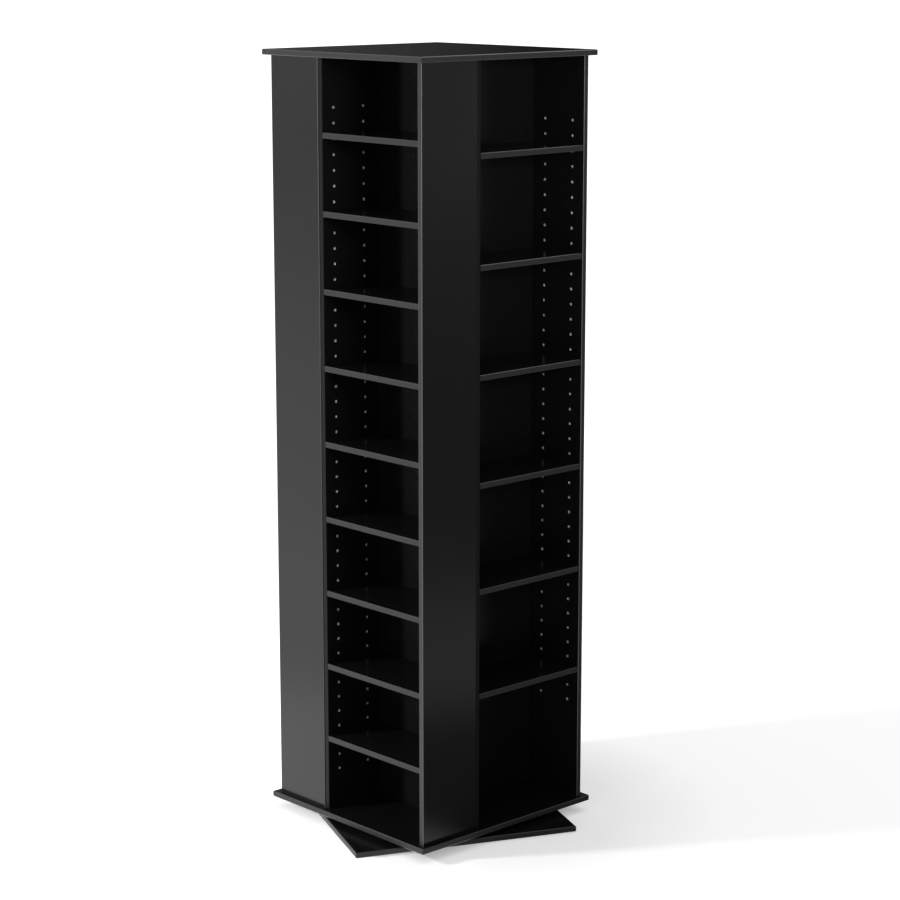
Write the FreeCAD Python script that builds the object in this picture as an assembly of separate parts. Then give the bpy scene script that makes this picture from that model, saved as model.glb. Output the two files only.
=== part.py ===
"""Rotating media tower: four bays set like a pinwheel round a closed core.

Units are millimetres. +Z is up and the origin is on the floor, on the spin
axis. Face A looks along -Y, and faces B, C and D follow anticlockwise seen
from above: +X, +Y and -X. Every face has a wide outer panel at its left, the
front edge of an inner panel beside it, and an open bay with shelves.
"""
import FreeCAD
import Part
import math
import os

from FreeCAD import Vector

# Driving dimensions
BOARD = 12.0                 # thickness of every board
PLATE_SIDE = 490.0           # top, bottom and base plates are square
BODY_SIDE = 463.0            # across the outer panels
TOTAL_HEIGHT = 1642.0        # floor to top surface
OUTER_WIDTH = 148.0          # width of an outer panel on its face
REVEAL = 2.0                 # inner panels and shelves stand back from the face
PLATE_CHAMFER = 1.5          # all edges of the three plates
BOARD_CHAMFER = 1.0          # upright front edges of the panels, and shelf fronts
BASE_TURN = -23.8            # degrees from the tower to the base plate at rest

GLIDE_SIDE = 28.0            # square pads
GLIDE_HEIGHT = 2.0
GLIDE_INSET = 30.0           # from the edges of the base plate to a pad's centre

ROW_PITCH = 32.0             # from one row of pin holes to the next
TOP_CD_SHELF = 1467.0        # underside of the highest CD shelf
ROWS_TO_TOP_DVD_SHELF = 1    # the highest DVD shelf is this much lower
CD_SHELVES = 9
CD_ROWS = 5                  # rows from one CD shelf to the next
DVD_SHELVES = 6
DVD_ROWS = 7
SHELF_PLAY = 0.5             # between a shelf and each wall beside it

PIN_SIDES = 6                # flats of a shelf pin, one of them under the shelf
PIN_ACROSS = 4.9             # across its flats
SOCKET_ACROSS = 5.0
SOCKET_DEPTH = 8.5
PIN_REACH = 8.0              # how far a pin stands out under a shelf
PIN_COLUMNS = (30.0, 110.0)  # from the front edge of the inner panel
SPARE_ROWS = 2               # empty rows of holes over the highest CD shelf
SPARE_HOLE_RADIUS = 2.5

BALL_RADIUS = 3.175
BALL_COUNT = 8
BALL_CIRCLE = 100.0          # radius of the circle that the balls run on
BALL_PLAY = 0.03
BALL_SIDES = 8               # flats round a ball, a pocket and a pair of grooves
SHEET = 1.2                  # sheet steel of the races
CREST_RISE = 1.65            # from a groove's floor up to the crests beside it
FLANGE_RING_RADIUS = 108.0   # where the pressed ring passes into the flat flange
FLANGE_SIDE = 250.0
FLANGE_CHAMFER = 25.0
RIM_RADIUS = 86.0            # free inner rim of the lower race
SKIRT_RADIUS = 84.0          # outside of the wall that carries the curled lip
LIP_RADIUS = 89.5            # the lip hooks under the rim
LIP_GAP = 0.15               # from the lip to the base plate
CAGE_HALF_WIDTH = 7.5
CAGE_THICKNESS = 1.4
POCKET_ACROSS = 6.8

NEAR = 1e-6                  # two points this close are one

# Derived dimensions
HALF_BODY = BODY_SIDE / 2
TURNTABLE_HEIGHT = 2 * (BALL_RADIUS + BALL_PLAY + SHEET)
BASE_TOP = GLIDE_HEIGHT + BOARD
BOTTOM_PLATE_LEVEL = BASE_TOP + TURNTABLE_HEIGHT
BAY_FLOOR = BOTTOM_PLATE_LEVEL + BOARD
BAY_CEILING = TOTAL_HEIGHT - BOARD
BAY_FRONT = -HALF_BODY + REVEAL
BAY_LEFT = -HALF_BODY + OUTER_WIDTH + BOARD
BAY_RIGHT = HALF_BODY - BOARD
BAY_BACK = -HALF_BODY + OUTER_WIDTH
TOP_DVD_SHELF = TOP_CD_SHELF - ROWS_TO_TOP_DVD_SHELF * ROW_PITCH

FACES = {"a": 0, "b": 90, "c": 180, "d": 270}
SHELVES = {
    "a": [TOP_CD_SHELF - CD_ROWS * ROW_PITCH * i for i in range(CD_SHELVES)],
    "b": [TOP_DVD_SHELF - DVD_ROWS * ROW_PITCH * i for i in range(DVD_SHELVES)],
}
SHELVES["c"] = SHELVES["b"]
SHELVES["d"] = SHELVES["b"]


def box(x0, x1, y0, y1, z0, z1):
    """Box between two opposite corners."""
    return Part.makeBox(x1 - x0, y1 - y0, z1 - z0, Vector(x0, y0, z0))


def turned(shape, degrees):
    """The shape turned about the spin axis."""
    copy = shape.copy()
    copy.rotate(Vector(0, 0, 0), Vector(0, 0, 1), degrees)
    return copy


def upright_edges_at(shape, x, y):
    """Edges parallel to Z that stand at x, y."""
    found = []
    for edge in shape.Edges:
        start = edge.Vertexes[0].Point
        end = edge.Vertexes[-1].Point
        if all(math.hypot(point.x - x, point.y - y) < NEAR for point in (start, end)):
            found.append(edge)
    return found


def flat_sided_bar(sides, across, length, foot, direction):
    """Bar with this many flats, from its foot along an axis; on a level bar the top one is level."""
    corner = across / 2 / math.cos(math.pi / sides)
    turns = [2 * math.pi * (number + 0.5) / sides for number in range(sides)]
    ring = [Vector(corner * math.cos(turn), corner * math.sin(turn), 0) for turn in turns]
    bar = Part.Face(Part.makePolygon(ring + ring[:1])).extrude(Vector(0, 0, length))
    bar.Placement = FreeCAD.Placement(foot, FreeCAD.Rotation(Vector(0, 0, 1), direction))
    return bar


def plate(bottom):
    """Square plate with every edge eased."""
    half = PLATE_SIDE / 2
    board = box(-half, half, -half, half, bottom, bottom + BOARD)
    return board.makeChamfer(PLATE_CHAMFER, board.Edges)


def outer_panel():
    """Wide panel of face A, which is also the right wall of bay D."""
    panel = box(-HALF_BODY, BAY_BACK, -HALF_BODY, -HALF_BODY + BOARD, BAY_FLOOR, BAY_CEILING)
    eased = upright_edges_at(panel, -HALF_BODY, -HALF_BODY)
    eased += upright_edges_at(panel, BAY_BACK, -HALF_BODY)
    return panel.makeChamfer(BOARD_CHAMFER, eased)


def inner_panel():
    """Left wall of bay A, which runs on as the back of bay D and ends at the core."""
    left = BAY_LEFT - BOARD
    panel = box(left, BAY_LEFT, BAY_FRONT, -BAY_LEFT, BAY_FLOOR, BAY_CEILING)
    return panel.makeChamfer(BOARD_CHAMFER, upright_edges_at(panel, BAY_LEFT, BAY_FRONT))


def wall_points(wall_x, rows):
    """Places on a wall of bay A, in both pin columns at every row."""
    return [Vector(wall_x, BAY_FRONT + column, row) for column in PIN_COLUMNS for row in rows]


def pegs(wall_x, direction, levels, across, length):
    """Bars from the bottom of the pin sockets; direction points out of the wall."""
    out = Vector(direction, 0, 0)
    rows = [level - PIN_ACROSS / 2 for level in levels]
    feet = [place - out * SOCKET_DEPTH for place in wall_points(wall_x, rows)]
    return [flat_sided_bar(PIN_SIDES, across, length, foot, out) for foot in feet]


def spare_holes(wall_x, direction):
    """Round holes over the highest CD shelf, to peg it higher up."""
    out = Vector(direction, 0, 0)
    rows = [TOP_CD_SHELF + ROW_PITCH * (row + 1) - PIN_ACROSS / 2 for row in range(SPARE_ROWS)]
    feet = [place - out * SOCKET_DEPTH for place in wall_points(wall_x, rows)]
    return [Part.makeCylinder(SPARE_HOLE_RADIUS, SOCKET_DEPTH + 1, foot, out) for foot in feet]


def drilling(wall_x, direction, letter):
    """All that is cut from one wall of this face's bay."""
    cuts = pegs(wall_x, direction, SHELVES[letter], SOCKET_ACROSS, SOCKET_DEPTH + 1)
    if letter == "a":
        cuts += spare_holes(wall_x, direction)
    return cuts


def shelf_pins(levels):
    """Four pins under each shelf, seated on the bottom of their sockets."""
    length = SOCKET_DEPTH + PIN_REACH
    left = pegs(BAY_LEFT, 1, levels, PIN_ACROSS, length)
    right = pegs(BAY_RIGHT, -1, levels, PIN_ACROSS, length)
    return Part.makeCompound(left + right)


def shelf(level):
    """Loose shelf of bay A with its front edges eased."""
    board = box(BAY_LEFT + SHELF_PLAY, BAY_RIGHT - SHELF_PLAY,
                BAY_FRONT, BAY_BACK - SHELF_PLAY, level, level + BOARD)
    front = [edge for edge in board.Edges
             if edge.BoundBox.XLength > BOARD and edge.BoundBox.YMax < BAY_FRONT + NEAR]
    return board.makeChamfer(BOARD_CHAMFER, front)


def glide(x_sign, y_sign):
    """Square pad under one corner of the base plate."""
    place = PLATE_SIDE / 2 - GLIDE_INSET
    x = x_sign * place - GLIDE_SIDE / 2
    y = y_sign * place - GLIDE_SIDE / 2
    return turned(box(x, x + GLIDE_SIDE, y, y + GLIDE_SIDE, 0, GLIDE_HEIGHT), BASE_TURN)


def race_side(on_board):
    """Corners of one side of the race's sheet, from the flange in to the inner crest.

    The first value of each pair is the distance from the spin axis, the second
    the distance from the board. All slopes are at 45 degrees, so that the two
    sides run one sheet thickness apart and a groove fits the flats of a ball.
    """
    half_turn = math.tan(math.pi / BALL_SIDES)
    level = 0 if on_board else SHEET
    bend = SHEET * half_turn if on_board else 0
    floor = (BALL_RADIUS + BALL_PLAY) * half_turn
    crest = floor + CREST_RISE
    return [
        (FLANGE_RING_RADIUS, level),
        (BALL_CIRCLE + crest + CREST_RISE - bend, level),
        (BALL_CIRCLE + crest, level + CREST_RISE - bend),
        (BALL_CIRCLE + floor + bend, level),
        (BALL_CIRCLE - floor - bend, level),
        (BALL_CIRCLE - crest - bend, level + CREST_RISE),
    ]


def race_ring(inner_end):
    """Ring pressed from sheet, turned about the axis; the board is at level 0.

    inner_end lists the corners of the inner edge, from the board side round to
    the ball side.
    """
    outline = race_side(True) + inner_end + race_side(False)[::-1]
    corners = [Vector(radius, 0, level) for radius, level in outline]
    section = Part.Face(Part.makePolygon(corners + corners[:1]))
    return section.revolve(Vector(0, 0, 0), Vector(0, 0, 1), 360)


def race_flange():
    """Square sheet round the ring, with its corners cut off."""
    half = FLANGE_SIDE / 2
    sheet = box(-half, half, -half, half, 0, SHEET)
    corners = [edge for edge in sheet.Edges if edge.BoundBox.ZLength > SHEET / 2]
    sheet = sheet.makeChamfer(FLANGE_CHAMFER, corners)
    return sheet.cut(Part.makeCylinder(FLANGE_RING_RADIUS, SHEET))


def race(inner_end):
    """Whole race, ring and flange in one piece of sheet."""
    return race_ring(inner_end).fuse(race_flange()).removeSplitter()


def lower_race():
    """Race on the base plate; its inner rim is free for the lip to hook under."""
    rim = [(RIM_RADIUS, CREST_RISE), (RIM_RADIUS, CREST_RISE + SHEET)]
    return turned(race(rim), BASE_TURN).translated(Vector(0, 0, BASE_TOP))


def upper_race():
    """Race under the bottom plate, with a skirt and a lip that hold the two together."""
    lip_level = TURNTABLE_HEIGHT - LIP_GAP
    skirt = [
        (SKIRT_RADIUS - SHEET, CREST_RISE),
        (SKIRT_RADIUS - SHEET, lip_level),
        (LIP_RADIUS, lip_level),
        (LIP_RADIUS, lip_level - SHEET),
        (SKIRT_RADIUS, lip_level - SHEET),
        (SKIRT_RADIUS, CREST_RISE + SHEET),
    ]
    made = race(skirt)
    made.rotate(Vector(0, 0, 0), Vector(1, 0, 0), 180)
    return made.translated(Vector(0, 0, BOTTOM_PLATE_LEVEL))


def on_ball_circle(shape):
    """Copies of a shape, one for each ball."""
    return [turned(shape, 360.0 * number / BALL_COUNT) for number in range(BALL_COUNT)]


def bearing_balls():
    """All the balls, their round surfaces in flats that fit the grooves."""
    centre = Vector(BALL_CIRCLE, 0, BASE_TOP + TURNTABLE_HEIGHT / 2)
    length = 3 * BALL_RADIUS
    bars = []
    for direction in (Vector(1, 0, 0), Vector(0, 1, 0), Vector(0, 0, 1)):
        foot = centre - direction * (length / 2)
        bars.append(flat_sided_bar(BALL_SIDES, 2 * BALL_RADIUS, length, foot, direction))
    ball = bars[0].common(bars[1]).common(bars[2])
    return Part.makeCompound(on_ball_circle(ball))


def ball_cage():
    """Flat ring with a pocket for each ball."""
    bottom = Vector(0, 0, BASE_TOP + (TURNTABLE_HEIGHT - CAGE_THICKNESS) / 2)
    ring = Part.makeCylinder(BALL_CIRCLE + CAGE_HALF_WIDTH, CAGE_THICKNESS, bottom)
    middle = Part.makeCylinder(BALL_CIRCLE - CAGE_HALF_WIDTH, CAGE_THICKNESS, bottom)
    foot = bottom + Vector(BALL_CIRCLE, 0, 0)
    pocket = flat_sided_bar(BALL_SIDES, POCKET_ACROSS, CAGE_THICKNESS, foot, Vector(0, 0, 1))
    return ring.cut([middle] + on_ball_circle(pocket))


def base():
    """Base plate and the pads that it stands on."""
    nodes = {"base_plate": turned(plate(GLIDE_HEIGHT), BASE_TURN)}
    corners = [(-1, -1), (1, -1), (1, 1), (-1, 1)]
    for number, (x_sign, y_sign) in enumerate(corners, 1):
        nodes["glide_%d" % number] = glide(x_sign, y_sign)
    return nodes


def turntable():
    """Two races with a caged row of balls between them."""
    return {
        "turntable_lower_race": lower_race(),
        "turntable_upper_race": upper_race(),
        "ball_cage": ball_cage(),
        "bearing_balls": bearing_balls(),
    }


def bay(letter):
    """Panels, shelves and pins of one face, turned to its place."""
    levels = SHELVES[letter]
    angle = FACES[letter]
    nodes = {}
    drilled_inner = inner_panel().cut(drilling(BAY_LEFT, 1, letter))
    nodes["inner_panel_" + letter] = turned(drilled_inner, angle)
    nodes["shelf_pins_" + letter] = turned(shelf_pins(levels), angle)
    for number, level in enumerate(levels, 1):
        nodes["shelf_%s%d" % (letter, number)] = turned(shelf(level), angle)
    return nodes


def drilled_outer_panel(letter):
    """Outer panel of this face, drilled for the bay that it closes on the right."""
    before = {"a": "d", "b": "a", "c": "b", "d": "c"}[letter]
    panel = turned(outer_panel(), 90)
    return turned(panel.cut(drilling(BAY_RIGHT, -1, before)), FACES[letter] - 90)


def write(nodes):
    """One STEP file for each node."""
    os.makedirs("parts", exist_ok=True)
    for name, shape in nodes.items():
        shape.exportStep("parts/%s.step" % name)


def main():
    nodes = {**base(), **turntable()}
    nodes["bottom_plate"] = plate(BOTTOM_PLATE_LEVEL)
    nodes["top_plate"] = plate(BAY_CEILING)
    for letter in FACES:
        nodes["outer_panel_" + letter] = drilled_outer_panel(letter)
        nodes.update(bay(letter))
    write(nodes)


main()
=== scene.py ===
"""Looks of the rotating media tower: black laminated board on a ball-bearing turntable.

Metres, in the CAD model's frame: +Z up, origin on the floor on the spin axis.
Face A looks along -Y; faces B, C and D follow anticlockwise seen from above.
"""
import bmesh
import bpy
import math
from mathutils import Euler, Matrix, Vector


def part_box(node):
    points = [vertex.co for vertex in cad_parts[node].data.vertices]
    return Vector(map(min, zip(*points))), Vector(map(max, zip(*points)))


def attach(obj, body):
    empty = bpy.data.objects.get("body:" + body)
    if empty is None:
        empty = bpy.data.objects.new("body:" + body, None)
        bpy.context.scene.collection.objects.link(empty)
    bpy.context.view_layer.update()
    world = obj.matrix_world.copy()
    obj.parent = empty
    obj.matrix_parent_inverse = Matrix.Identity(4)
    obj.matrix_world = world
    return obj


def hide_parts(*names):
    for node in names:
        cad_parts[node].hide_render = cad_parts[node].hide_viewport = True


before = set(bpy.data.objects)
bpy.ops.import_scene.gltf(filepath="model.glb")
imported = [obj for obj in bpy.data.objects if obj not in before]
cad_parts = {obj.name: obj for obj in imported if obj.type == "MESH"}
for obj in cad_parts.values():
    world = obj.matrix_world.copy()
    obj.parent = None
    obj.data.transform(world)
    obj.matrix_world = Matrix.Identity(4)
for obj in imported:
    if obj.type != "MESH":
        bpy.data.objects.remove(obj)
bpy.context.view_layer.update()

MM = 0.001

FACES = {"a": 0, "b": 90, "c": 180, "d": 270}        # degrees about the spin axis
NEXT_FACE = {"a": "b", "b": "c", "c": "d", "d": "a"}
SHELF_COUNT = {"a": 9, "b": 6, "c": 6, "d": 6}
GLIDE_COUNT = 4
PLATES = ("base_plate", "bottom_plate", "top_plate")
RACES = ("turntable_lower_race", "turntable_upper_race")

EDGE_RADIUS = 1.6 * MM                # eased upright edges of the panels
EDGE_SEGMENTS = 3
ROUND_SIDES = 20                      # of the holes, pins and screw heads
SHARP_ANGLE = 35                      # degrees: a steeper edge stays sharp

ROW_PITCH = 32 * MM
SPARE_ROWS = 2                        # drilled above the top shelf and below the bottom one
PIN_COLUMNS = (30 * MM, 110 * MM)     # from the front edge of the inner panel
PIN_RADIUS = 2.45 * MM
PIN_REACH = 8 * MM                    # out of the wall, under the shelf
PIN_TIP = 0.8 * MM                    # rounding of its end
HOLE_RADIUS = 2.5 * MM
HOLE_DEPTH = 8.5 * MM
HOLE_RIM = 0.35 * MM                  # worn bevel round the mouth of a hole

SHEET = 1.2 * MM                      # thickness of the turntable's races
BASE_TURN = math.radians(-23.8)       # of the base plate under the tower
BALL_COUNT = 8
BALL_RADIUS = 3.175 * MM
BALL_CIRCLE = 100 * MM
BALL_SUBDIVISIONS = 3
SCREW_PLACE = 105 * MM                # from the spin axis, along both sides of a flange
SCREW_HEAD_RADIUS = 4 * MM
SCREW_HEAD_HEIGHT = 2 * MM
PAN_HEAD = ((0, 1), (0.35, 1), (0.8, 0.8), (1, 0.35))    # shares of its height and radius


# ---------------------------------------------------------------- materials

WHITE = (1.0, 1.0, 1.0)
NOISE_MIDDLE = (0.3, 0.7)             # where most values of a noise lie
NOISE_CORE = (0.35, 0.65)             # a narrower range, for more contrast

FACE_ROUGHNESS = 0.16
FACE_BLACKS = ((0.0050, 0.0051, 0.0054), (0.0080, 0.0081, 0.0086))
CLOUD_ROUGHNESS = 0.05                # the most that the uneven gloss adds
GRAIN_ROUGHNESS = 0.04                # the most that the mottle adds
EDGE_DULLNESS = 0.27                  # how much rougher the edge band is
PANEL_BAND = (0.018, 0.027)           # darkest and lightest grey of an edge band
PLATE_BAND = (0.026, 0.036)
SHELF_BAND = (0.022, 0.031)
# Painted shade: the inner panels' darker edge band stands in for the shade in the recess
# behind the proud outer panels
SHADE_PAINTED_BAND = (0.007, 0.012)

CORE_CHIPS = ((0.66, 0.63, 0.58), (0.92, 0.90, 0.86))
NYLON_TINTS = ((0.52, 0.50, 0.43), (0.66, 0.64, 0.57))
FELT_TINTS = ((0.010, 0.010, 0.011), (0.055, 0.055, 0.058))
FLOOR_TINTS = ((0.78, 0.78, 0.785), (0.82, 0.82, 0.825))
SPANGLE_DARKER = 0.82                 # share of the colour that its dark parts keep
SPANGLE_ROUGHER = 0.12                # the most that the spangle adds to the roughness


def grey(level):
    return (level, level, level)


class Nodes:
    """Node tree of a material or a world, with short ways to add to it."""

    def __init__(self, owner):
        self.owner = owner
        owner.use_nodes = True
        self.tree = owner.node_tree
        self.shader = self.tree.nodes.get("Principled BSDF")

    def add(self, kind, **settings):
        node = self.tree.nodes.new(kind)
        for key, value in settings.items():
            setattr(node, key, value)
        return node

    def feed(self, socket, value):
        """The socket linked to another one, or set to a number, a vector or a colour."""
        if isinstance(value, bpy.types.NodeSocket):
            self.tree.links.new(value, socket)
        elif isinstance(value, tuple):
            socket.default_value = (*value, 1.0)
        else:
            socket.default_value = value

    def set(self, **values):
        """Inputs of the shader, whose spaces are written as underscores."""
        for name, value in values.items():
            self.feed(self.shader.inputs[name.replace("_", " ")], value)

    def coordinates(self, output="Object"):
        return self.add("ShaderNodeTexCoord").outputs[output]

    def noise(self, scale, detail):
        """Noise over the object's own coordinates."""
        place = self.coordinates()
        node = self.add("ShaderNodeTexNoise")
        node.inputs["Scale"].default_value = scale
        node.inputs["Detail"].default_value = detail
        self.feed(node.inputs["Vector"], place)
        return node.outputs["Fac"]

    def ramp(self, value, first, last, start=NOISE_MIDDLE[0], end=NOISE_MIDDLE[1]):
        """First where the value is start or less, evenly to last where it is end or more."""
        node = self.add("ShaderNodeMapRange")
        node.inputs["From Min"].default_value = start
        node.inputs["From Max"].default_value = end
        node.inputs["To Min"].default_value = first
        node.inputs["To Max"].default_value = last
        self.feed(node.inputs["Value"], value)
        return node.outputs["Result"]

    def maths(self, operation, *values):
        node = self.add("ShaderNodeMath", operation=operation)
        for socket, value in zip(node.inputs, values):
            self.feed(socket, value)
        return node.outputs["Value"]

    def vector_maths(self, operation, output, *values):
        node = self.add("ShaderNodeVectorMath", operation=operation)
        for socket, value in zip(node.inputs, values):
            self.feed(socket, value)
        return node.outputs[output]

    def split(self, vector):
        """The vector's X, Y and Z, by name."""
        node = self.add("ShaderNodeSeparateXYZ")
        self.feed(node.inputs["Vector"], vector)
        return node.outputs

    def mix(self, factor, first, second):
        """Mix of two colours, each a colour or a socket."""
        node = self.add("ShaderNodeMix", data_type="RGBA")
        self.feed(node.inputs["Factor"], factor)
        colours = [socket for socket in node.inputs if socket.type == "RGBA"]
        for socket, value in zip(colours, (first, second)):
            self.feed(socket, value)
        return [socket for socket in node.outputs if socket.type == "RGBA"][0]

    def bump(self, height, strength, distance):
        node = self.add("ShaderNodeBump")
        node.inputs["Strength"].default_value = strength
        node.inputs["Distance"].default_value = distance
        self.feed(node.inputs["Height"], height)
        self.set(Normal=node.outputs["Normal"])


def new_material(name):
    return Nodes(bpy.data.materials.new(name))


def laminate(name, broad_axis, band=PANEL_BAND, arris_highlight=0.16, specular=0.5):
    """Satin black laminate, whose narrow faces carry a duller, lighter edge band.

    broad_axis is the object axis that the board's broad faces look along, band is the
    darkest and lightest grey of the edge band, and arris_highlight is the grey of a painted
    highlight along its rounded and chamfered corners.
    """
    nodes = new_material(name)
    facing = nodes.maths("ABSOLUTE", nodes.split(nodes.coordinates("Normal"))[broad_axis])
    banded = nodes.ramp(facing, 1.0, 0.0, start=0.45, end=0.8)
    dull = nodes.ramp(facing, EDGE_DULLNESS, 0.0, start=0.1, end=0.4)
    mottle = nodes.ramp(nodes.noise(scale=520, detail=4), 0.0, 1.0, *NOISE_CORE)
    cloud = nodes.ramp(nodes.noise(scale=5, detail=3), 0.0, 1.0)
    face = nodes.mix(mottle, *FACE_BLACKS)
    edge = nodes.mix(mottle, grey(band[0]), grey(band[1]))
    flat = nodes.mix(banded, face, edge)
    # Painted highlight: the rounded and chamfered corners get a lighter grey that stands in
    # for the glint of light along them
    slant = nodes.maths("MINIMUM", facing, nodes.maths("SUBTRACT", 1, facing))
    highlight_mask = nodes.ramp(slant, 0.0, 1.0, start=0.12, end=0.28)
    worn = nodes.maths("MULTIPLY", cloud, CLOUD_ROUGHNESS)
    grainy = nodes.maths("MULTIPLY", mottle, GRAIN_ROUGHNESS)
    rough = nodes.maths("ADD", nodes.maths("ADD", worn, grainy),
                        nodes.maths("ADD", dull, FACE_ROUGHNESS))
    nodes.set(Base_Color=nodes.mix(highlight_mask, flat, grey(arris_highlight)), Roughness=rough,
              Specular_IOR_Level=specular)
    nodes.bump(nodes.noise(scale=900, detail=3), strength=0.12, distance=0.2 * MM)
    return nodes.owner


def board_core():
    """Pale chips and glue of particle board, seen in the pin holes."""
    nodes = new_material("board_core")
    chips = nodes.ramp(nodes.noise(scale=1400, detail=4), 0.0, 1.0, *NOISE_CORE)
    nodes.set(Base_Color=nodes.mix(chips, *CORE_CHIPS), Roughness=0.85,
              Specular_IOR_Level=0.2)
    nodes.bump(chips, strength=0.5, distance=0.3 * MM)
    return nodes.owner


def plated_steel(name, colour, roughness):
    """Zinc or nickel plating, or polished steel, with a faint spangle."""
    nodes = new_material(name)
    spangle = nodes.ramp(nodes.noise(scale=160, detail=5), 0.0, 1.0)
    darker = tuple(SPANGLE_DARKER * part for part in colour)
    rough = nodes.ramp(spangle, roughness, roughness + SPANGLE_ROUGHER, start=0, end=1)
    nodes.set(Base_Color=nodes.mix(spangle, darker, colour), Roughness=rough, Metallic=1.0)
    nodes.bump(nodes.noise(scale=700, detail=3), strength=0.08, distance=0.2 * MM)
    return nodes.owner


def nylon():
    nodes = new_material("natural_nylon")
    cloud = nodes.noise(scale=60, detail=3)
    nodes.set(Base_Color=nodes.mix(cloud, *NYLON_TINTS),
              Roughness=nodes.ramp(cloud, 0.38, 0.55))
    nodes.bump(nodes.noise(scale=1200, detail=2), strength=0.1, distance=0.2 * MM)
    return nodes.owner


def felt():
    nodes = new_material("black_felt")
    fibres = nodes.noise(scale=1500, detail=5)
    nodes.set(Base_Color=nodes.mix(fibres, *FELT_TINTS), Roughness=0.95,
              Specular_IOR_Level=0.15, Sheen_Weight=0.3)
    nodes.bump(fibres, strength=0.8, distance=0.6 * MM)
    return nodes.owner


# The arris values are the grey of the painted highlight on each kind of board's corners
PANEL_LAMINATE = {"X": laminate("black_laminate_x", "X"),
                  "Y": laminate("black_laminate_y", "Y")}
PLATE_LAMINATE = laminate("black_laminate_z", "Z", PLATE_BAND, arris_highlight=0.06, specular=0.3)
SHELF_LAMINATE = laminate("black_laminate_shelf", "Z", SHELF_BAND, arris_highlight=0.06,
                          specular=0.3)
# Inner panels: their darker, less glossy edges are painted shade for the recess behind the
# outer panels
SHADE_PAINTED_EDGES = {axis: laminate("shade_painted_edge_laminate_" + axis.lower(), axis, SHADE_PAINTED_BAND,
                             arris_highlight=0.01, specular=0.15)
              for axis in "XY"}
CORE = board_core()
ZINC = plated_steel("zinc_plated_sheet", (0.62, 0.63, 0.65), roughness=0.30)
NICKEL = plated_steel("nickel_plated_pin", (0.66, 0.64, 0.60), roughness=0.22)
BALL_STEEL = plated_steel("bearing_steel", (0.70, 0.70, 0.71), roughness=0.10)
NYLON = nylon()
FELT = felt()


# ------------------------------------------------------------------- shapes

def to_object(name, bm, materials, smooth=True):
    """A new object from a bmesh, which is freed."""
    mesh = bpy.data.meshes.new(name)
    bm.to_mesh(mesh)
    bm.free()
    for material in materials:
        mesh.materials.append(material)
    for polygon in mesh.polygons:
        polygon.use_smooth = smooth
    made = bpy.data.objects.new(name, mesh)
    bpy.context.scene.collection.objects.link(made)
    return made


def lathe(bm, profile, place):
    """Closed solid turned about the place's Z axis from (height, radius) pairs."""
    rings = []
    for height, radius in profile:
        ring = []
        for side in range(ROUND_SIDES):
            turn = 2 * math.pi * side / ROUND_SIDES
            point = Vector((radius * math.cos(turn), radius * math.sin(turn), height))
            ring.append(bm.verts.new(place @ point))
        rings.append(ring)
    for lower, upper in zip(rings, rings[1:]):
        for side in range(ROUND_SIDES):
            after = (side + 1) % ROUND_SIDES
            bm.faces.new((lower[side], lower[after], upper[after], upper[side]))
    bm.faces.new(rings[0][::-1])
    bm.faces.new(rings[-1])


def keep_edges_sharp(made):
    """Smooth shading that stops at real edges."""
    bpy.context.view_layer.objects.active = made
    made.select_set(True)
    bpy.ops.object.shade_smooth_by_angle(angle=math.radians(SHARP_ANGLE))
    made.select_set(False)


def apply_modifiers(made):
    bpy.context.view_layer.update()
    shown = made.evaluated_get(bpy.context.evaluated_depsgraph_get())
    mesh = bpy.data.meshes.new_from_object(shown)
    made.modifiers.clear()
    made.data = mesh


def keep_faces_flat(made):
    """Only the rounded edges bend the shading, and the broad faces stay flat."""
    weighted = made.modifiers.new("weighted", "WEIGHTED_NORMAL")
    weighted.keep_sharp = True
    apply_modifiers(made)


# Bay A, from the frame: each wall's X and the way out of it along X
WALLS = {
    "left": (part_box("inner_panel_a")[1].x, 1),
    "right": (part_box("outer_panel_b")[0].x, -1),
}
BAY_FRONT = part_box("inner_panel_a")[0].y


def turned(letter):
    """Rotation that takes bay A to this face."""
    return Matrix.Rotation(math.radians(FACES[letter]), 4, "Z")


def shelf_names(letter):
    """This bay's shelves, highest first."""
    return ["shelf_%s%d" % (letter, number + 1) for number in range(SHELF_COUNT[letter])]


def shelf_levels(letter):
    """Undersides of this bay's shelves, highest first."""
    return [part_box(shelf)[0].z for shelf in shelf_names(letter)]


def drilled_rows(letter):
    """Heights of all the rows of pin holes in this bay."""
    levels = shelf_levels(letter)
    low = levels[-1] - SPARE_ROWS * ROW_PITCH - PIN_RADIUS
    high = levels[0] + SPARE_ROWS * ROW_PITCH
    return [low + ROW_PITCH * row for row in range(int((high - low) / ROW_PITCH) + 1)]


def out_of_wall(letter, side, column, height):
    """Frame of a hole or a pin: its mouth on the wall, Z pointing out into the bay."""
    wall, direction = WALLS[side]
    mouth = Matrix.Translation((wall, BAY_FRONT + column, height))
    out = Matrix.Rotation(direction * math.pi / 2, 4, "Y")
    return turned(letter) @ mouth @ out


def panel_axis(node):
    """Object axis that a panel's broad faces look along."""
    low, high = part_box(node)
    return "X" if high.x - low.x < high.y - low.y else "Y"


def eased_board(node):
    """Bmesh of a board that fills the node's box, with its upright edges rounded."""
    low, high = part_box(node)
    size = high - low
    bm = bmesh.new()
    bmesh.ops.create_cube(bm, size=1.0)
    bmesh.ops.transform(bm, verts=bm.verts, matrix=Matrix.LocRotScale(
        (low + high) / 2, None, size))
    upright = [edge for edge in bm.edges
               if abs((edge.verts[0].co - edge.verts[1].co).z) > size.z / 2]
    bmesh.ops.bevel(bm, geom=upright, offset=EDGE_RADIUS, segments=EDGE_SEGMENTS,
                    profile=0.5, affect="EDGES")
    return bm


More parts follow.
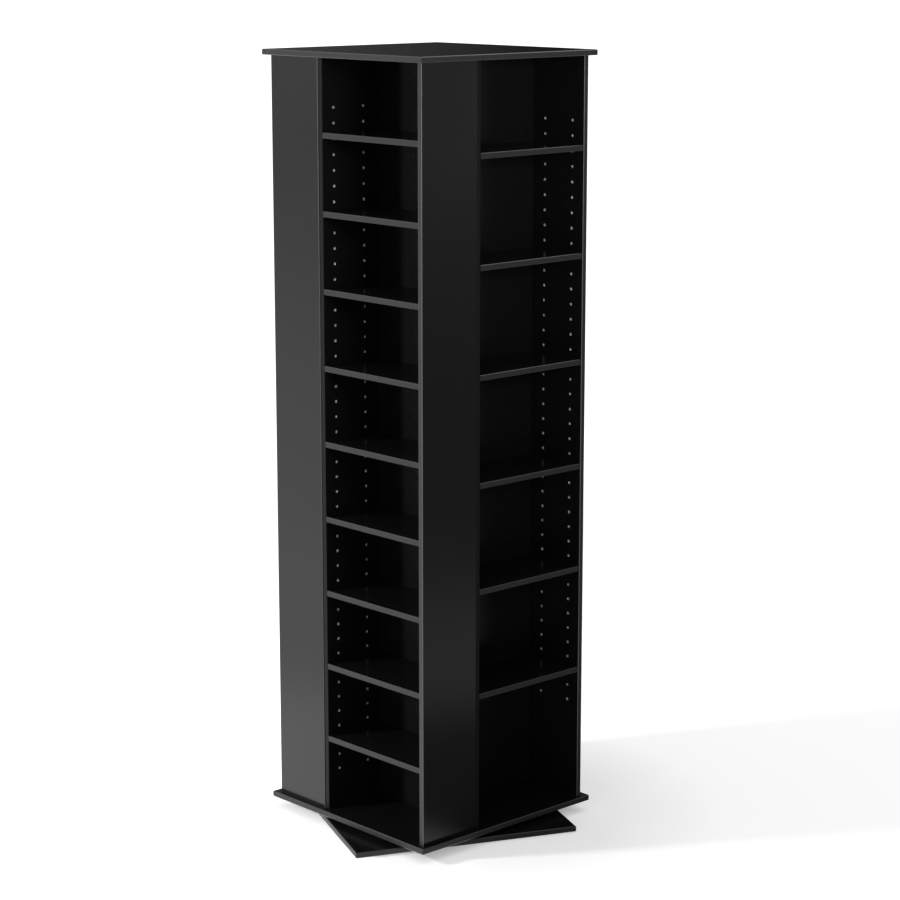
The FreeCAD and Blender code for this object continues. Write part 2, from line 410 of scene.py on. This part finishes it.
def cut_pin_holes(panel, letter, side):
    """Every row of pin holes that this wall of the bay has, with worn rims."""
    profile = [(-HOLE_DEPTH, HOLE_RADIUS), (-HOLE_RIM, HOLE_RADIUS),
               (HOLE_RIM, HOLE_RADIUS + 2 * HOLE_RIM)]
    bm = bmesh.new()
    for column in PIN_COLUMNS:
        for height in drilled_rows(letter):
            lathe(bm, profile, out_of_wall(letter, side, column, height))
    cutter = to_object("cutter", bm, [CORE])
    cut = panel.modifiers.new("holes", "BOOLEAN")
    cut.object = cutter
    cut.operation = "DIFFERENCE"
    cut.solver = "EXACT"
    cut.material_mode = "TRANSFER"
    apply_modifiers(panel)
    bpy.data.objects.remove(cutter)


def drilled_panel(node, letter, side):
    """Panel with round pin holes, which stands for the CAD one."""
    # Inner panels take the laminate whose darker edges are painted shade
    laminates = PANEL_LAMINATE if node.startswith("outer") else SHADE_PAINTED_EDGES
    panel = to_object("drilled_" + node, eased_board(node),
                      [laminates[panel_axis(node)], CORE])
    cut_pin_holes(panel, letter, side)
    keep_edges_sharp(panel)
    keep_faces_flat(panel)
    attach(panel, "tower")
    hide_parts(node)


def round_pins(letter):
    """Nickel-plated pins with rounded tips under this bay's shelves."""
    bm = bmesh.new()
    profile = [(-HOLE_DEPTH, PIN_RADIUS), (PIN_REACH - PIN_TIP, PIN_RADIUS),
               (PIN_REACH - 0.3 * PIN_TIP, PIN_RADIUS - 0.35 * PIN_TIP),
               (PIN_REACH, PIN_RADIUS - PIN_TIP)]
    for side in WALLS:
        for column in PIN_COLUMNS:
            for level in shelf_levels(letter):
                lathe(bm, profile, out_of_wall(letter, side, column, level - PIN_RADIUS))
    pins = to_object("round_pins_" + letter, bm, [NICKEL])
    keep_edges_sharp(pins)
    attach(pins, "tower")
    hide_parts("shelf_pins_" + letter)


def round_balls():
    """The turntable's balls, which stand for the flat-sided CAD ones."""
    low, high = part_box("bearing_balls")
    bm = bmesh.new()
    for number in range(BALL_COUNT):
        turn = 2 * math.pi * number / BALL_COUNT
        centre = (BALL_CIRCLE * math.cos(turn), BALL_CIRCLE * math.sin(turn),
                  (low.z + high.z) / 2)
        bmesh.ops.create_icosphere(bm, subdivisions=BALL_SUBDIVISIONS, radius=BALL_RADIUS,
                                   matrix=Matrix.Translation(centre))
    balls = to_object("round_balls", bm, [BALL_STEEL])
    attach(balls, "ball_ring")
    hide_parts("bearing_balls")


def flange_screws(name, level, up, body, turn):
    """Four pan heads on one flange of the turntable; up is 1, or -1 where they hang."""
    bm = bmesh.new()
    profile = [(height * SCREW_HEAD_HEIGHT, radius * SCREW_HEAD_RADIUS)
               for height, radius in PAN_HEAD]
    for x in (-SCREW_PLACE, SCREW_PLACE):
        for y in (-SCREW_PLACE, SCREW_PLACE):
            place = Matrix.Rotation(turn, 4, "Z") @ Matrix.Translation((x, y, level))
            lathe(bm, profile, place @ Matrix.Diagonal((1, up, up, 1)))
    heads = to_object(name, bm, [NICKEL])
    keep_edges_sharp(heads)
    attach(heads, body)


# ------------------------------------------------------------------- object

def dress(nodes, material):
    """CAD nodes shown as they are, in a material of their own."""
    for node in nodes:
        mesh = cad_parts[node].data
        mesh.materials.clear()
        mesh.materials.append(material)


def dress_nodes():
    dress(PLATES, PLATE_LAMINATE)
    for letter in FACES:
        dress(shelf_names(letter), SHELF_LAMINATE)
    dress(["glide_%d" % (number + 1) for number in range(GLIDE_COUNT)], FELT)
    dress(RACES, ZINC)
    dress(["ball_cage"], NYLON)


def add_pieces():
    for letter in FACES:
        drilled_panel("inner_panel_" + letter, letter, "left")
        drilled_panel("outer_panel_" + NEXT_FACE[letter], letter, "right")
        round_pins(letter)
    round_balls()
    base_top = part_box("turntable_lower_race")[0].z + SHEET
    plate_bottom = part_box("bottom_plate")[0].z - SHEET
    flange_screws("lower_flange_screws", base_top, 1, "base", BASE_TURN)
    flange_screws("upper_flange_screws", plate_bottom, -1, "tower", 0.0)


# ------------------------------------------------------------ floor and light

FLOOR_HALF = 40.0
PLATE_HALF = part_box("bottom_plate")[1].x
FLOOR_MIRRORED = grey(0.13)           # painted reflection: the darker floor colour that reflections see
LIT_SIDE = Vector((-0.58, -0.81, 0.0))       # middle of the floor that the key light reaches
BRIGHT_WALLS = Vector((-0.26, -0.97, 0.0))   # the bright side of the studio
LIT_COSINES = (-0.5, 0.2)             # from the dark side to fully lit
WALL_COSINES = (-0.5, 0.9)

# Ramps of the floor's whiteness: its value at the start and at the end, and where the ramp
# starts and ends, in metres from the spin axis. The first two go outwards in squares, as the
# plate does, and the others in circles. Their glow paints light and shade on the floor:
# whiter beyond the plate on the key's side, darker under the plate and near the tower.
# Painted light: the floor glows white beyond the plate on the side that the key light
# reaches
PAINTED_LIGHT_BESIDE_PLATE = (0.0, 1.0, PLATE_HALF + 5 * MM, PLATE_HALF + 55 * MM)
# Painted shade: the floor glows less under the plate's edge
PAINTED_SHADE_UNDER_PLATE = (0.3, 1.0, PLATE_HALF - 95 * MM, PLATE_HALF + 5 * MM)
# Painted shade: on the other sides the floor glows less close to the tower
IN_SHADOW = (0.49, 0.61, 0.40, 0.65)
FAR_WHITE = (0.0, 1.0, 1.4, 3.5)      # the object's shadow fades out here
# The same, for what reflections see: a painted glow on the lit side, a painted pool of light
# on the others and a glow towards the horizon
LIT_NEAR = (1.55, 1.0, 1.0, 1.4)      # painted light: how many times whiter the lit side is close by
LIT_FAR = (0.86, 0.42, 5.5, 15.0)
POOL_INSIDE = (0.0, 0.32, 0.9, 1.3)   # painted pool of light, a soft ring on the other sides
POOL_OUTSIDE = (0.32, 0.04, 1.7, 2.6)
HORIZON = (0.0, 0.5, 6.0, 30.0)

WORLD_DIM = 0.25                      # brightness of the walls that light the object
WORLD_BRIGHT = 0.70
LOW_WALLS = (1.0, 0.0, 0.30, 0.45)    # by the height of the direction, as its sine
LOW_WALLS_MIRRORED = 0.03             # how much of them reflections see

CAMERA_PLACE = (3.7915, -3.4550, 1.8657)
CAMERA_DOWN = 11.734                  # degrees below the horizontal
CAMERA_HEADING = 47.186               # degrees from +Y, anticlockwise
LENS = 98.65                          # millimetres
SENSOR_WIDTH = 36.0                   # millimetres


def towards(nodes, direction, side, cosines):
    """0 rising to 1 as the direction turns to the side, between two cosines."""
    level = nodes.vector_maths("DOT_PRODUCT", "Value", direction, side)
    return nodes.ramp(level, 0.0, 1.0, *cosines)


def shown_white(nodes, path, seen, mirrored):
    """How white the surroundings are: seen for the eye, mirrored for reflections."""
    direct = nodes.maths("MAXIMUM", path.outputs["Is Camera Ray"],
                         path.outputs["Is Transmission Ray"])
    return nodes.maths("ADD", nodes.maths("MULTIPLY", direct, seen),
                       nodes.maths("MULTIPLY", path.outputs["Is Glossy Ray"], mirrored))


def floor_material():
    """Pale floor that keeps the object's shadow and is white to the eye; its glow adds
    painted light and shade.
    """
    nodes = new_material("pale_floor")
    place = nodes.coordinates()
    length = nodes.vector_maths("LENGTH", "Value", place)
    away = nodes.vector_maths("NORMALIZE", "Vector", place)
    lit_side = towards(nodes, away, LIT_SIDE, LIT_COSINES)
    split = nodes.split(place)
    beside = nodes.maths("MAXIMUM", nodes.maths("ABSOLUTE", split["X"]),
                         nodes.maths("ABSOLUTE", split["Y"]))

    # Painted light on the key's side, and painted shade under the plate and near the tower
    clear = nodes.maths("MULTIPLY", lit_side, nodes.ramp(beside, *PAINTED_LIGHT_BESIDE_PLATE))
    shaded = nodes.maths("MULTIPLY", nodes.ramp(beside, *PAINTED_SHADE_UNDER_PLATE),
                         nodes.ramp(length, *IN_SHADOW))
    lit = nodes.maths("MAXIMUM", nodes.ramp(length, *FAR_WHITE), clear)
    seen = nodes.maths("MAXIMUM", lit, shaded)

    # Painted light that only reflections see: a glow on the lit side, a soft pool of light
    # on the others, and towards the horizon
    fading = nodes.maths("MULTIPLY", nodes.ramp(length, *LIT_NEAR),
                         nodes.ramp(length, *LIT_FAR))
    painted_pool = nodes.maths("MINIMUM", nodes.ramp(length, *POOL_INSIDE),
                       nodes.ramp(length, *POOL_OUTSIDE))
    mirrored = nodes.maths("MAXIMUM", nodes.maths("MULTIPLY", lit_side, fading),
                           nodes.maths("MAXIMUM", painted_pool, nodes.ramp(length, *HORIZON)))

    path = nodes.add("ShaderNodeLightPath")
    grain = nodes.ramp(nodes.noise(scale=90, detail=4), 0.0, 1.0)
    pale = nodes.mix(grain, *FLOOR_TINTS)
    # Reflections see the darker FLOOR_MIRRORED colour, a painted reflection
    nodes.set(Base_Color=nodes.mix(path.outputs["Is Glossy Ray"], pale, FLOOR_MIRRORED),
              Roughness=0.9, Specular_IOR_Level=0.1, Emission_Color=WHITE,
              Emission_Strength=shown_white(nodes, path, seen, mirrored))
    return nodes.owner


def make_floor():
    bm = bmesh.new()
    bmesh.ops.create_grid(bm, x_segments=1, y_segments=1, size=FLOOR_HALF)
    floor = to_object("floor", bm, [floor_material()], smooth=False)


def make_world():
    """Studio walls: bright on the light's side, dim on the other, white to the eye."""
    world = bpy.data.worlds.new("studio")
    bpy.context.scene.world = world
    nodes = Nodes(world)
    direction = nodes.coordinates("Generated")
    side = towards(nodes, direction, BRIGHT_WALLS, WALL_COSINES)
    walls = nodes.ramp(side, WORLD_DIM, WORLD_BRIGHT, start=0, end=1)
    low = nodes.ramp(nodes.split(direction)["Z"], *LOW_WALLS)
    path = nodes.add("ShaderNodeLightPath")
    dimmed = nodes.maths("MULTIPLY", path.outputs["Is Glossy Ray"], low)
    kept = nodes.ramp(dimmed, 1.0, LOW_WALLS_MIRRORED, start=0, end=1)
    strength = nodes.add("ShaderNodeMix")
    nodes.feed(strength.inputs["Factor"], shown_white(nodes, path, 1, side))
    nodes.feed(strength.inputs["A"], nodes.maths("MULTIPLY", walls, kept))
    nodes.feed(strength.inputs["B"], 1.0)
    background = nodes.tree.nodes["Background"]
    nodes.feed(background.inputs["Color"], WHITE)
    nodes.feed(background.inputs["Strength"], strength.outputs["Result"])


def area_light(name, place, aim, size, power, reflected=True, beam=180):
    """Soft light, its power in watts and its beam in degrees.

    One that isn't reflected leaves no highlight.
    """
    lamp = bpy.data.lights.new(name, "AREA")
    lamp.shape = "RECTANGLE"
    lamp.size, lamp.size_y = size
    lamp.energy = power
    lamp.spread = math.radians(beam)
    made = bpy.data.objects.new(name, lamp)
    made.location = place
    made.visible_camera = False
    made.visible_glossy = reflected
    made.rotation_euler = (Vector(aim) - Vector(place)).to_track_quat("-Z", "Y").to_euler()
    bpy.context.scene.collection.objects.link(made)


def make_lights():
    area_light("key", place=(-1.52, -2.91, 1.6), aim=(0, 0, 0.6), size=(0.31, 0.31),
               power=80, reflected=False)
    area_light("low_fill", place=(-1.5, -2.1, 0.25), aim=(0, 0, 0.25), size=(0.8, 0.4),
               power=6, reflected=False)
    area_light("floor_card", place=(-0.66, -0.72, 0.02), aim=(-0.66, -0.72, 1.0),
               size=(0.84, 0.84), power=5, reflected=False)
    area_light("side_fill", place=(2.7, -0.9, 1.9), aim=(0.2, 0, 1.6), size=(0.8, 0.6),
               power=2.9, beam=50)
    area_light("rim_light", place=(0.4, 2.9, 4.6), aim=(0, 0, 1.6), size=(1.6, 1.6),
               power=16)


def make_camera():
    data = bpy.data.cameras.new("camera")
    data.sensor_width = SENSOR_WIDTH
    data.lens = LENS
    camera = bpy.data.objects.new("camera", data)
    camera.location = CAMERA_PLACE
    camera.rotation_euler = Euler((math.radians(90 - CAMERA_DOWN), 0.0,
                                   math.radians(CAMERA_HEADING)))
    bpy.context.scene.collection.objects.link(camera)
    bpy.context.scene.camera = camera


make_camera()
make_world()
make_lights()
make_floor()
dress_nodes()
add_pieces()
bpy.context.scene.view_settings.view_transform = "Standard"
